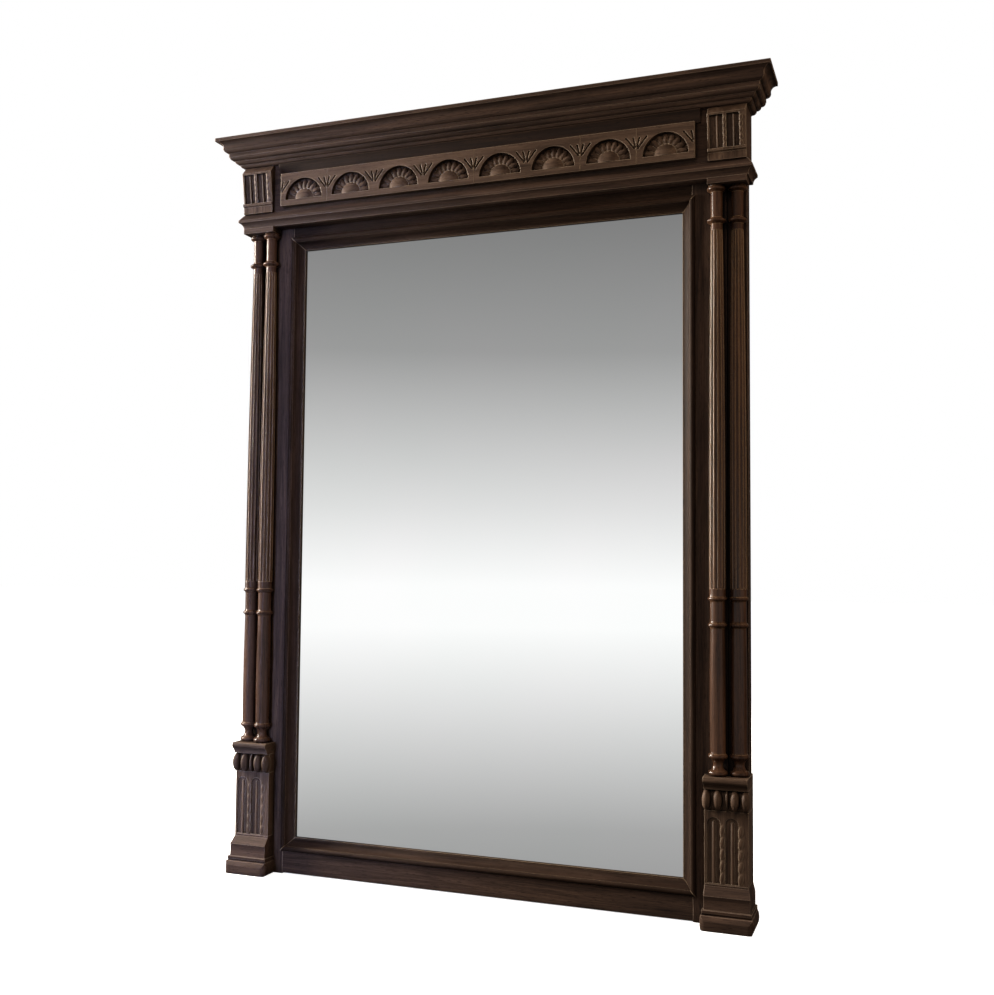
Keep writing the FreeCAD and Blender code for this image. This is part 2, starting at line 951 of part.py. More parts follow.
def shaft_outline(pin_length):
    """Half the turned shape, as (radius, height above the cap); a pinned one has a pin at each end."""
    height = size.column_height
    half_ring = size.ring_height / 2
    ring_bulge = size.ring_height * 0.4
    ring_seat = size.ring_radius - ring_bulge
    ring_curve = bulge_radius(size.ring_height, ring_bulge)
    torus_bulge = size.torus_height * 0.4
    torus_seat = size.torus_radius - torus_bulge
    torus_curve = bulge_radius(size.torus_height, torus_bulge)
    astragal_bulge = size.astragal_thickness / 3
    astragal_seat = size.ring_radius - astragal_bulge
    astragal_curve = bulge_radius(size.astragal_thickness, astragal_bulge)
    astragal_top = size.astragal_height + size.astragal_thickness
    upper_ring = size.lower_ring_height + size.ring_spacing
    cap_ring = height - size.cap_ring_drop
    neck_ring = height - size.neck_ring_drop
    points = [
        (ZERO, -pin_length),
        (size.pin_radius, -pin_length),
        (size.pin_radius, ZERO),
    ] if pin_length is not ZERO else [(ZERO, ZERO)]
    points += [
        (torus_seat, ZERO, torus_curve, PROUD),
        (torus_seat, size.torus_height, size.scotia_radius, HOLLOW),
        (astragal_seat, size.astragal_height, astragal_curve, PROUD),
        (astragal_seat, astragal_top),
        (size.shaft_foot_radius, astragal_top + half_ring, size.belly_curve, PROUD),
    ]
    for level, below, above in (
        (size.lower_ring_height, size.shaft_belly_radius, (size.shaft_waist_radius,)),
        (upper_ring, size.shaft_waist_radius, (size.shaft_flute_radius, size.entasis_curve, PROUD)),
        (cap_ring, size.shaft_top_radius, (size.shaft_top_radius,)),
        (neck_ring, size.shaft_top_radius, (size.shaft_top_radius,)),
    ):
        points += [
            (below, level - half_ring),
            (ring_seat, level, ring_curve, PROUD),
            (ring_seat, level + size.ring_height),
            (above[0], level + size.ring_height + half_ring, *above[1:]),
        ]
    points[-1] = (ring_seat, height)
    if pin_length is ZERO:
        return points + [(ZERO, height)]
    return points + [
        (size.pin_radius, height),
        (size.pin_radius, height + pin_length),
        (ZERO, height + pin_length),
    ]


def round_hole(centre, radius):
    """A circle drawn as four arcs, in front of the shaft's axis."""
    return [
        (-radius, -centre, radius, PROUD),
        (ZERO, -centre - radius, radius, PROUD),
        (radius, -centre, radius, PROUD),
        (ZERO, -centre + radius, radius, PROUD),
    ]


def colonnette(label, x, seat_depth, pin_length):
    body = new_body(label)
    sketch = outline(body, f"{label}_half", "XZ_Plane", shaft_outline(pin_length), ZERO)
    turning = body.newObject("PartDesign::Revolution", f"{label}_turning")
    turning.Profile = sketch
    turning.ReferenceAxis = (sketch, ["V_Axis"])
    turning.Angle = 360
    doc.recompute()
    reach = size.ring_radius + size.torus_radius
    flat = [
        (-reach, size.column_flat),
        (reach, size.column_flat),
        (reach, reach),
        (-reach, reach),
    ]
    pocket(
        body,
        outline(body, f"{label}_flat", "XY_Plane", flat, size.column_height),
        size.column_height,
    )
    flute_top = size.column_height - size.cap_ring_drop - size.flute_gap
    upper_ring = size.lower_ring_height + size.ring_spacing
    flute_bottom = upper_ring + size.ring_height + size.flute_gap
    # each flute narrows and leans in with the taper of the shaft
    low_middle = size.shaft_flute_radius + size.flute_radius - size.flute_depth
    top_radius = size.flute_radius * size.flute_taper
    top_middle = size.shaft_top_radius + (size.flute_radius - size.flute_depth) * size.flute_taper
    low_end = outline(
        body, f"{label}_flute_foot", "XY_Plane", round_hole(low_middle, size.flute_radius), flute_bottom
    )
    top_end = outline(body, f"{label}_flute_head", "XY_Plane", round_hole(top_middle, top_radius), flute_top)
    flute = body.newObject("PartDesign::SubtractiveLoft", f"{label}_first_flute")
    flute.Profile = low_end
    flute.Sections = [top_end]
    flute.Ruled = True
    doc.recompute()
    pattern = body.newObject("PartDesign::PolarPattern", f"{label}_flutes")
    pattern.Originals = [flute]
    pattern.Axis = (low_end, ["N_Axis"])
    pattern.Angle = 360
    pattern.setExpression("Occurrences", size.flute_count.text)
    body.Tip = pattern
    doc.recompute()
    bind_place(body, x, at(seat_depth + size.column_flat), cap_top)
    return keep(body)


for side_name, side_sign in SIDES.items():
    foot(side_name, side_sign)
    base_moulding(side_name, side_sign)
    die(side_name, side_sign)
    egg_band(side_name, side_sign)
    cap(side_name, side_sign)
    colonnette(f"{side_name}_inner_colonnette", column_inner_x * side_sign, frame_front, size.pin_length)
    colonnette(f"{side_name}_outer_colonnette", column_outer_x * side_sign, size.column_seat, ZERO)

# Entablature: mitred mouldings go round the front and both ends

def mitre_level(body, corners, top, height):
    """Takes corners off a moulding, seen from above, through its whole height."""
    for index, corner in enumerate(corners):
        points = [(x, at(depth)) for x, depth in corner]
        sketch = outline(body, f"{body.Label}_mitre_{index}", "XY_Plane", points, top)
        pocket(body, sketch, height)


def wrap_moulding(name, section, front, side_place, bottom, height, reach):
    """A moulding on three sides; section gives (projection, height), starting at its back edge."""
    far_x = side_place + reach
    far_depth = front + reach
    near_x = side_place + section[0][0]
    near_depth = front + section[0][0]
    top = bottom + height
    drawn = [(front + point[0], bottom + point[1], *point[2:]) for point in section]
    body = bar_across(f"{name}_front", drawn, (-far_x, far_x))
    corners = [
        [(near_x * end, near_depth), (far_x * end, near_depth), (far_x * end, far_depth)]
        for end in SIDES.values()
    ]
    mitre_level(body, corners, top, height)
    keep(body)
    for side_name, side in SIDES.items():
        end = new_body(f"{side_name}_{name}_return")
        profile = [((side_place + point[0]) * side, bottom + point[1], *point[2:]) for point in section]
        sketch = outline(end, f"{side_name}_{name}_section", "XZ_Plane", profile, -at(ZERO))
        pad(end, sketch, far_depth)
        mitre_level(
            end,
            [[(near_x * side, near_depth), (far_x * side, far_depth), (near_x * side, far_depth)]],
            top,
            height,
        )
        keep(end)


def architrave_section():
    nose_top = size.nose_bottom + size.nose_height
    return [
        (-size.frieze_return, ZERO),
        (size.architrave_foot, ZERO, size.architrave_cove_radius, HOLLOW),
        (size.architrave_projection, size.nose_bottom),
        (size.architrave_projection, nose_top),
        (size.slope_top, size.architrave_height),
        (-size.frieze_return, size.architrave_height),
    ]


def bed_section():
    points = [(ZERO, ZERO), (size.bed_foot, ZERO)]
    run = (size.bed_projection - size.bed_foot) / size.reed_count
    rise = (size.bed_height - size.reed_lift) / size.reed_count
    for index in range(round(size.reed_count.number)):
        points.append((size.bed_foot + run * index, size.reed_lift + rise * index, size.reed_radius, PROUD))
    points += [(size.bed_projection, size.bed_height), (ZERO, size.bed_height)]
    return points


def crown_section():
    lip = size.crown_projection - size.crown_lip
    lip_level = size.crown_height - size.crown_top
    return [
        (ZERO, ZERO),
        (size.crown_foot, ZERO),
        (size.crown_foot, size.crown_fillet, size.cyma_low_radius, PROUD),
        (size.crown_hip, size.crown_waist, size.cyma_high_radius, HOLLOW),
        (lip, lip_level),
        (size.crown_projection, lip_level),
        (size.crown_projection, size.crown_height),
        (ZERO, size.crown_height),
    ]


wrap_moulding(
    "architrave",
    architrave_section(),
    frieze_front,
    frieze_side,
    architrave_bottom,
    size.architrave_height,
    size.architrave_projection,
)
wrap_moulding(
    "bed_moulding", bed_section(), frieze_front, frieze_side, bed_bottom, size.bed_height, size.bed_projection
)
wrap_moulding(
    "crown_moulding",
    crown_section(),
    shelf_front,
    shelf_side,
    shelf_bottom,
    size.crown_height,
    size.crown_projection,
)
keep(
    box(
        "architrave_core",
        (-frame_outer, frame_outer),
        (frame_front, frieze_front - size.frieze_return),
        (architrave_bottom, frieze_bottom),
    )
)
keep(
    box(
        "frieze_board",
        (-frame_outer, frame_outer),
        (frame_front, frieze_front),
        (frieze_bottom, shelf_bottom),
    )
)
keep(
    box(
        "cornice_shelf",
        (-shelf_side, shelf_side),
        (ZERO, shelf_front),
        (shelf_bottom, shelf_bottom + size.shelf_thickness),
    )
)
for side_name, side_sign in SIDES.items():
    keep(
        box(
            f"{side_name}_frieze_end",
            across(side_sign, frame_outer, frieze_side),
            (ZERO, frieze_front),
            (frieze_bottom, shelf_bottom),
        )
    )


def abacus(name, side):
    label = f"{name}_abacus"
    block = box(
        f"{label}_block",
        across(side, frieze_side - size.abacus_width, frieze_side),
        (frame_front, frame_front + size.abacus_depth),
        (abacus_bottom, architrave_bottom),
    )
    pin_hole = rod(
        f"{label}_pin_hole",
        column_inner_x * side,
        frame_front + size.column_flat,
        abacus_bottom,
        size.pin_radius + size.pin_gap,
        size.pin_length + size.pin_gap,
        True,
    )
    return keep(cut(label, block, [pin_hole]))


def console(name, side):
    """A bracket at the end of the frieze: it leans forward to its top and carries two flutes."""
    body = new_body(f"{name}_console")
    x_low, x_high = across(side, console_inner, frieze_side)
    foot_front = frieze_front + size.console_foot_depth
    top_front = frieze_front + size.console_top_depth
    band_front = foot_front + size.console_band_proud
    band_top = frieze_bottom + size.console_band_height
    shoulder = frieze_bottom + size.console_shoulder
    section = [
        (frieze_front, frieze_bottom),
        (band_front, frieze_bottom),
        (band_front, band_top),
        (foot_front, band_top),
        (top_front, shoulder),
        (frieze_front + size.console_crown_depth, bed_bottom),
        (frieze_front, bed_bottom),
    ]
    drawn = [(at(depth), level) for depth, level in section]
    pad(body, outline(body, f"{name}_console_section", "YZ_Plane", drawn, x_low), x_high - x_low)
    lean = (top_front - foot_front) / (shoulder - band_top)
    low = band_top + size.console_flute_margin
    high = shoulder - size.console_flute_margin
    low_front = foot_front + lean * (low - band_top)
    high_front = foot_front + lean * (high - band_top)
    deep = size.console_flute_depth
    flute = [
        (low_front - deep, low),
        (low_front + deep, low),
        (high_front + deep, high),
        (high_front - deep, high),
    ]
    middle = (frieze_side - size.console_width / 2) * side
    for index, way in enumerate((-1, 1)):
        edge = middle + size.console_flute_spacing / 2 * way + size.console_flute_width / 2
        points = [(at(depth), level) for depth, level in flute]
        sketch = outline(body, f"{name}_console_flute_{index}", "YZ_Plane", points, edge)
        pocket(body, sketch, size.console_flute_width)
    return keep(body)


for side_name, side_sign in SIDES.items():
    abacus(side_name, side_sign)
    console(side_name, side_sign)


def frieze_panel():
    """The applied panel, bevelled round its face and sunk with a row of half-round lunettes."""
    body = new_body("frieze_panel")
    low = frieze_bottom + size.panel_rise
    high = low + size.panel_height
    front = frieze_front + size.panel_thickness
    half = console_inner - size.panel_margin
    bevel = size.panel_bevel
    section = [
        (at(frieze_front), low),
        (at(front - bevel), low),
        (at(front), low + bevel),
        (at(front), high - bevel),
        (at(front - bevel), high),
        (at(frieze_front), high),
    ]
    pad(body, outline(body, "panel_section", "YZ_Plane", section, -half), half * 2)
    base = low + size.lunette_rise
    radius = size.lunette_radius
    spacing = half * 2 / size.lunette_count
    first = spacing / 2 - half
    lunette = [
        (first - radius, base),
        (first + radius, base, radius, PROUD),
        (first, base + radius, radius, PROUD),
    ]
    sketch = outline(body, "lunette", "XZ_Plane", lunette, -at(front))
    sunk = pocket(body, sketch, size.lunette_depth)
    row = body.newObject("PartDesign::LinearPattern", "lunette_row")
    row.Originals = [sunk]
    row.Direction = (sketch, ["H_Axis"])
    row.setExpression("Length", (spacing * (size.lunette_count - 1)).text)
    row.setExpression("Occurrences", size.lunette_count.text)
    body.Tip = row
    doc.recompute()
    return keep(body)


def frieze_lath():
    """The plain hollow lath over the panel, under the bed moulding."""
    low = frieze_bottom + size.panel_rise + size.panel_height
    half = console_inner - size.lath_margin
    section = [
        (frieze_front, low),
        (frieze_front + size.lath_foot_depth, low, size.lath_curve, HOLLOW),
        (frieze_front + size.lath_depth, bed_bottom),
        (frieze_front, bed_bottom),
    ]
    return keep(bar_across("frieze_lath", section, (-half, half)))


frieze_panel()
frieze_lath()

block_back = shelf_front - size.glue_block_size
block_low = shelf_bottom + size.shelf_thickness
glue_blocks = []
for block_index, share in enumerate((-1, -0.5, 0, 0.5, 1)):
    x = (shelf_side - size.glue_block_margin) * share
    half_length = size.glue_block_length / 2
    glue_blocks.append(
        box(
            f"glue_block_{block_index}",
            (x - half_length, x + half_length),
            (block_back, shelf_front),
            (block_low, block_low + size.glue_block_size),
        )
    )
keep(group("cornice_glue_blocks", glue_blocks))

doc.recompute()
for item in doc.Objects:
    if "Invalid" in item.State or "Error" in item.State:
        raise RuntimeError(f"{item.Label} failed to build: {item.State}")
for piece in sub_parts:
    if piece.Shape.isNull() or not piece.Shape.isValid():
        raise RuntimeError(f"{piece.Label} has no valid shape")
os.makedirs("parts", exist_ok=True)
for piece in sub_parts:
    piece.Shape.exportStep(f"parts/{piece.Label}.step")
print(len(sub_parts), "sub-parts,", sum(len(piece.Shape.Solids) for piece in sub_parts), "solids")
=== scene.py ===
# %% [markdown]
# # A carved trumeau mirror
# The joinery of this mirror, with its sizes and moulding sections, comes ready made from the
# construction model. This lesson adds what a finisher, a carver and a photographer would add:
# the stained and waxed oak, the silvered glass, the cut ornament, the light and the camera.

# %% Load the joinery
import json
import math

import bpy
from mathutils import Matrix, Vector


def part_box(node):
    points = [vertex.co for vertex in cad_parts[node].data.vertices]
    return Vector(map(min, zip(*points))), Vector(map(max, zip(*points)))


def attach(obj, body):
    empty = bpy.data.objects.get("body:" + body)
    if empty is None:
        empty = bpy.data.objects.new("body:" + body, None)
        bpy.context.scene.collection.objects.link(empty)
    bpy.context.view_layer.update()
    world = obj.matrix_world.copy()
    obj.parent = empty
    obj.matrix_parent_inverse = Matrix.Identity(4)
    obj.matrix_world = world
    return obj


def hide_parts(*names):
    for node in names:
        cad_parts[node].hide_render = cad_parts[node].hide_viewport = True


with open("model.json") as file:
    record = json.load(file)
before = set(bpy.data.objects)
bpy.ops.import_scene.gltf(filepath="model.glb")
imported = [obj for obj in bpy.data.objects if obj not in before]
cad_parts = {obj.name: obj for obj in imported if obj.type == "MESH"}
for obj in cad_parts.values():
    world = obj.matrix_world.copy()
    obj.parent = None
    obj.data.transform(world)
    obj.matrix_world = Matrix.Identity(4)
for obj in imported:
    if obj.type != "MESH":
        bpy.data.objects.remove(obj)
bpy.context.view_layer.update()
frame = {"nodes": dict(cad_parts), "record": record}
nodes = frame["nodes"]
print(len(nodes), "pieces of joinery loaded")

# %% [markdown]
# ## Colours and shader nodes
# A colour is written as the hex value that a person would pick. Blender works in linear light, so
# one function turns the first into the second. A material is a small tree of nodes. They could be
# made one line at a time, but one function that adds a node, sets its plain values and links the
# rest keeps each material short enough to read.

# %% Colours and nodes
def colour(text):
    """A hex colour as linear red, green, blue and alpha."""
    parts = [int(text[i:i + 2], 16) / 255 for i in (1, 3, 5)]
    return [p / 12.92 if p <= 0.04045 else ((p + 0.055) / 1.055) ** 2.4 for p in parts] + [1.0]


def add(tree, kind, inputs=None, stops=(), **settings):
    """Adds a node. An input is a value or another node's socket, and stops are a ramp's colours."""
    made = tree.nodes.new(kind)
    for name, value in settings.items():
        setattr(made, name, value)
    for name, value in (inputs or {}).items():
        if isinstance(value, bpy.types.NodeSocket):
            tree.links.new(value, made.inputs[name])
        else:
            made.inputs[name].default_value = value
    if stops:
        band = made.color_ramp.elements
        while len(band) < len(stops):
            band.new(0.5)
        for element, (place, shade) in zip(band, stops):
            element.position = place
            element.color = colour(shade)
    return made


def new_material(name):
    """An empty material with only its surface output."""
    material = bpy.data.materials.new(name)
    material.use_nodes = True
    material.node_tree.nodes.clear()
    return material, material.node_tree, add(material.node_tree, "ShaderNodeOutputMaterial")


print("a mid grey in linear light:", [round(part, 3) for part in colour("#808080")])

# %% [markdown]
# ## Stained oak: the grain
# Oak shows three things at arm's length: slow bands of tone where the growth rings were cut, fine
# fibres along the board, and short dark pores. A picture of wood could be wrapped round each board,
# but a pattern worked out from the place in the board has no seams and suits every length.
# All three are noise drawn out along the grain, with a width and a length in real millimetres.

# %% Grain
MM_PER_M = 1000
# Width and length. Real fibres and pores are a third of a millimetre wide or less, and are
# drawn wider here to show at all.
BANDS_MM = (18, 300)
FIBRES_MM = (1.6, 70)
PORES_MM = (0.9, 14)
# A Mix node has sockets of the same name for each kind of data, so its colours go by number.
MIX_FACTOR, MIX_FIRST, MIX_SECOND, MIX_RESULT = 0, 6, 7, 2


def oak_grain(tree, grain, tones):
    """The stained grain along X or Z: its colour, its bands and its fibres."""
    place = add(tree, "ShaderNodeTexCoord").outputs["Object"]

    def drawn_out(across_mm, along_mm, **extra):
        """Noise of a real width and length."""
        scale = [MM_PER_M / across_mm] * 3
        scale["XYZ".index(grain)] = MM_PER_M / along_mm
        moved = add(tree, "ShaderNodeMapping", {"Vector": place, "Scale": scale}).outputs["Vector"]
        inputs = {"Vector": moved, "Scale": 1.0, **extra}
        return add(tree, "ShaderNodeTexNoise", inputs).outputs["Fac"]

    bands = drawn_out(*BANDS_MM, Detail=3.0, Distortion=1.0)
    fibres = drawn_out(*FIBRES_MM, Detail=4.0, Roughness=0.6)
    pores = drawn_out(*PORES_MM, Detail=2.0)
    mixed = {"Factor": 0.45, "A": bands, "B": fibres}
    figure = add(tree, "ShaderNodeMix", mixed, data_type="FLOAT").outputs["Result"]
    stops = [(0.33, tones[0]), (0.5, tones[1]), (0.67, tones[2])]
    stain = add(tree, "ShaderNodeValToRGB", {"Fac": figure}, stops).outputs["Color"]
    limits = {"Value": pores, "From Min": 0.58, "From Max": 0.7}
    in_pore = add(tree, "ShaderNodeMapRange", limits).outputs["Result"]
    layers = {MIX_FACTOR: in_pore, MIX_FIRST: stain, MIX_SECOND: colour(tones[0])}
    pored = add(tree, "ShaderNodeMix", layers, data_type="RGBA").outputs[MIX_RESULT]
    return pored, bands, fibres


print("bands, fibres and pores of the oak in mm:", BANDS_MM, FIBRES_MM, PORES_MM)

# %% [markdown]
# ## Stained oak: wear, soot and painted light
# A century of dusting rubs the stain off the arrises, while old wax and soot stay in the hollows.
# The same marks also paint light: the pale arrises are partly a painted highlight, and the darkened
# hollows and pockets within 3 cm of other wood are partly painted shade. Both could be painted on by
# hand. Here two shader nodes find the places: the Bevel node bends the normal near an edge, so a bend
# means an arris, and the occlusion node measures how much open air a spot sees, so little air means a
# hollow. That way every new piece wears, and takes its painted light and shade, by itself.

# %% Wear, soot and painted light
# the soot colour also paints the shade in hollows and in pockets between parts
SOOT_AND_SHADE = "#0d0705"
ARRIS_RADIUS = 0.0022
HOLLOW_SIZE = 0.03


def worn_oak_with_painted_light(tree, stain, worn_highlight):
    """Darkens hollows with soot and painted shade and lightens arrises with wear and a painted highlight:
    the colour, and the normal with rounded edges.
    """
    rounded = add(tree, "ShaderNodeBevel", {"Radius": ARRIS_RADIUS}, samples=6).outputs["Normal"]
    facing = add(tree, "ShaderNodeNewGeometry").outputs["Normal"]
    normals = {0: rounded, 1: facing}
    bend = add(tree, "ShaderNodeVectorMath", normals, operation="DOT_PRODUCT").outputs["Value"]
    occlusion = add(tree, "ShaderNodeAmbientOcclusion", {"Distance": HOLLOW_SIZE}, samples=8)
    open_air = occlusion.outputs["AO"]
    # soot and painted shade: the less open air within 3 cm, the more the stain turns to the soot colour
    limits = {"Value": open_air, "From Min": 0.75, "From Max": 0.25, "To Max": 0.65}
    hollow_shade = add(tree, "ShaderNodeMapRange", limits).outputs["Result"]
    # wear and painted highlight: exposed arrises turn toward the pale worn colour
    limits = {"Value": bend, "From Min": 0.995, "From Max": 0.88, "To Max": 0.85}
    edge = add(tree, "ShaderNodeMapRange", limits).outputs["Result"]
    limits = {"Value": open_air, "From Min": 0.4, "From Max": 0.7}
    exposed = add(tree, "ShaderNodeMapRange", limits).outputs["Result"]
    shares = {0: edge, 1: exposed}
    arris = add(tree, "ShaderNodeMath", shares, operation="MULTIPLY").outputs["Value"]
    layers = {MIX_FACTOR: hollow_shade, MIX_FIRST: stain, MIX_SECOND: colour(SOOT_AND_SHADE)}
    sooted_and_shaded = add(tree, "ShaderNodeMix", layers, data_type="RGBA").outputs[MIX_RESULT]
    layers = {MIX_FACTOR: arris, MIX_FIRST: sooted_and_shaded, MIX_SECOND: colour(worn_highlight)}
    final = add(tree, "ShaderNodeMix", layers, data_type="RGBA").outputs[MIX_RESULT]
    return final, rounded


print("arrises wear and take painted highlight", ARRIS_RADIUS * MM_PER_M, "mm wide")

# %% [markdown]
# ## The oak finishes
# All the wood is oak. What shows is under one dark stain but has been handled in different ways, and
# the back was left bare, so the oak comes in several finishes. Beside the glass, on the top rail and on
# the lath under the cornice the oak is darker, as painted shade. Each could be its own tree of nodes.
# One function makes them all from three tones of the grain, the colour of a worn edge, which is also a
# painted highlight, and how rough and how polished the surface is. The sheen is low, so only a strong
# light draws a line on it.

# %% Oak finishes
FIBRE_RELIEF = 0.0004


def oak(name, grain, tones, worn_highlight, roughness, polish=0.1):
    """One finish of oak, with its grain along X or Z."""
    material, tree, output = new_material(name)
    stain, bands, fibres = oak_grain(tree, grain, tones)
    final, rounded = worn_oak_with_painted_light(tree, stain, worn_highlight)
    inputs = {"Strength": 0.25, "Distance": FIBRE_RELIEF, "Height": fibres, "Normal": rounded}
    relief = add(tree, "ShaderNodeBump", inputs).outputs["Normal"]
    limits = {"Value": bands, "To Min": roughness - 0.06, "To Max": roughness + 0.1}
    sheen = add(tree, "ShaderNodeMapRange", limits).outputs["Result"]
    inputs = {
        "Base Color": final,
        "Roughness": sheen,
        "Normal": relief,
        "Specular IOR Level": polish,
    }
    wood = add(tree, "ShaderNodeBsdfPrincipled", inputs)
    tree.links.new(wood.outputs["BSDF"], output.inputs["Surface"])
    print(name)
    return material


# Sawn and planed boards, stained and rubbed with wax: dark, nearly matt, pale along each arris from wear
# and a painted highlight.
OAK_TONES = ("#1d1410", "#382a22", "#4d3b30")
oak_upright = oak("stained oak, upright grain", "Z", OAK_TONES, "#857263", 0.6)
oak_level = oak("stained oak, level grain", "X", OAK_TONES, "#857263", 0.6)

# Carved wood is rubbed by every duster: lighter all over, and shinier than the flat boards.
CARVED_TONES = ("#261b14", "#47372c", "#604d3f")
oak_carved = oak("carved oak, waxed, upright grain", "Z", CARVED_TONES, "#94826f", 0.45)
oak_frieze = oak("carved oak, waxed, level grain", "X", CARVED_TONES, "#94826f", 0.55)

# Beside the glass and on the top rail the oak is almost black: painted shade, so that the pale arris,
# worn and a painted highlight, reads as a fine line.
SIGHT_SHADE_TONES = ("#170f0a", "#291d16", "#392b22")
oak_sight_shaded_upright = oak("oak beside the glass, upright", "Z", SIGHT_SHADE_TONES, "#a08a72", 0.55, 0.05)
oak_sight_shaded_level = oak("oak beside the glass, level", "X", SIGHT_SHADE_TONES, "#a08a72", 0.55, 0.05)

# The colonnettes were polished on the lathe: warmer, with a bright line down each of them.
TURNED_TONES = ("#20140e", "#3e2a1e", "#553b2b")
oak_turned = oak("turned oak, polished", "Z", TURNED_TONES, "#927658", 0.26, 0.19)

# The lath under the cornice is dull, and darker than all the rest: painted shade under the overhang of
# the cornice.
LATH_SHADE_TONES = ("#120c08", "#20150f", "#2e2017")
oak_lath_shaded = oak("oak under the cornice, darkened as painted shade", "X", LATH_SHADE_TONES, "#463528", 0.6)

# The back was left bare: pale, dry and without any sheen.
BARE_TONES = ("#5d4630", "#7a5f42", "#927553")
oak_back = oak("bare oak of the back", "Z", BARE_TONES, "#a88a66", 0.7)

# %% [markdown]
# ## Silvered glass
# The mirror is a sheet of plate glass with silver behind it. Glass and silver could be two layers, but at
# this distance the eye sees one clean reflector, so one metallic surface does for both. What gives it
# its look is the room that it shows. A very faint mottle keeps it from being perfectly even.

# %% Silvered glass
MOTTLE_MM = 333
silvered, tree, output = new_material("silvered glass")
place = add(tree, "ShaderNodeTexCoord").outputs["Object"]
inputs = {"Vector": place, "Scale": MM_PER_M / MOTTLE_MM, "Detail": 3.0}
mottle = add(tree, "ShaderNodeTexNoise", inputs).outputs["Fac"]
stops = [(0.3, "#fbfdfc"), (0.7, "#fefefe")]
silver = add(tree, "ShaderNodeValToRGB", {"Fac": mottle}, stops).outputs["Color"]
# Silver throws back nearly all light: the glass has hardly any colour of its own.
inputs = {"Base Color": silver, "Metallic": 1.0, "Roughness": 0.015}
plate = add(tree, "ShaderNodeBsdfPrincipled", inputs)
tree.links.new(plate.outputs["BSDF"], output.inputs["Surface"])
print(silvered.name)

# %% [markdown]
# ## Blackened iron
# The hanging plates and the screws are forged and blackened in the fire. Paint would look smoother
# and blacker. Scale from the forge is dull, and rust comes through it in small spots.

# %% Blackened iron
RUST_MM = 6.25
iron, tree, output = new_material("blackened iron")
place = add(tree, "ShaderNodeTexCoord").outputs["Object"]
inputs = {"Vector": place, "Scale": MM_PER_M / RUST_MM, "Detail": 5.0}
rust = add(tree, "ShaderNodeTexNoise", inputs).outputs["Fac"]
stops = [(0.4, "#2c2826"), (0.62, "#3b322c"), (0.75, "#6a4630")]
scale_and_rust = add(tree, "ShaderNodeValToRGB", {"Fac": rust}, stops).outputs["Color"]
# Forge scale is half metal, half crust: a soft dark gleam with brown spots in it.
inputs = {"Base Color": scale_and_rust, "Metallic": 0.8, "Roughness": 0.55}
metal = add(tree, "ShaderNodeBsdfPrincipled", inputs)
tree.links.new(metal.outputs["BSDF"], output.inputs["Surface"])
print(iron.name)

# %% [markdown]
# ## Which piece takes which finish
# Each piece of joinery could be given its material by name, but most follow from two facts. The
# record says what a piece is made of, and grain follows the longest side of a board, as a joiner
# would saw it: upright in stiles, level in rails and mouldings. Only a few pieces are named.

# %% Finishes on the joinery
slots = {part["node"]: part["material_slot"] for part in frame["record"]["subparts"]}
for name, piece in nodes.items():
    low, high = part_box(name)
    upright = high.z - low.z > high.x - low.x
    if slots[name] == "mirror_glass":
        finish = silvered
    elif slots[name] in ("iron_plate", "steel_screws"):
        finish = iron
    elif slots[name] == "back_wood":
        finish = oak_back
    elif slots[name] == "carved_oak":
        finish = oak_carved
    elif "lath" in name:
        # the lath takes the darkest finish: painted shade under the cornice
        finish = oak_lath_shaded
    elif "colonnette" in name:
        finish = oak_turned
    # the top rail takes the near-black finish from beside the glass: painted shade under the architrave
    elif "sight" in name or name == "top_rail":
        finish = oak_sight_shaded_upright if upright else oak_sight_shaded_level
    elif "plinth_cap" in name:
        finish = oak_frieze
    else:
        finish = oak_upright if upright else oak_level
    piece.data.materials.clear()
    piece.data.materials.append(finish)
print("finishes set on", len(nodes), "pieces")

# %% [markdown]
# ## The lunette frieze: a board for one shell
# The carver repeats one motif along the panel, a half-round shell. The whole row could be carved at
# once, but it is quicker and more even to carve one shell on its own length of board and to repeat
# that. An operator acts on all that is selected, so each step first selects exactly what it works
# on. Place, turn and scale are then applied, so that the piece keeps its origin at the middle of
# the mantel.

# %% A board for one shell
SHELLS = 8


def select_only(*objects):
    """Selects these objects and makes the first one active."""
    bpy.ops.object.select_all(action="DESELECT")
    for item in objects:
        item.select_set(True)
    bpy.context.view_layer.objects.active = objects[0]


def settle(piece):
    """Applies a piece's place, turn and scale to its mesh."""
    select_only(piece)
    bpy.ops.object.transform_apply(location=True, rotation=True, scale=True)
    return piece


def block(name, low, high):
    """A plain block between two corners."""
    middle = (Vector(low) + Vector(high)) / 2
    bpy.ops.mesh.primitive_cube_add(size=1, location=middle)
    piece = bpy.context.object
    piece.name = name
    piece.scale = Vector(high) - Vector(low)
    return settle(piece)


low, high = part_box("frieze_panel")
shell_pitch = (high.x - low.x) / SHELLS
panel = block("carved_frieze_panel", low, (low.x + shell_pitch, high.y, high.z))
print("board for one shell:", round(shell_pitch * MM_PER_M, 1), "mm long")

# %% [markdown]
# ## The lunette frieze: the sunk half disc
# First a half disc is sunk into the board to an even depth, with a plain rim left under it. A carver
# would set in the curve with gouges and clear the ground with a chisel. Here a cylinder, cut in half
# at the rim, is taken away from the board with a Boolean modifier.

# %% The sunk half disc
SHELL_RADIUS = 0.0465
SHELL_DEPTH = 0.0085
RIM_UNDER_SHELL = 0.013
OUT_OF_WALL = (math.pi / 2, 0, 0)


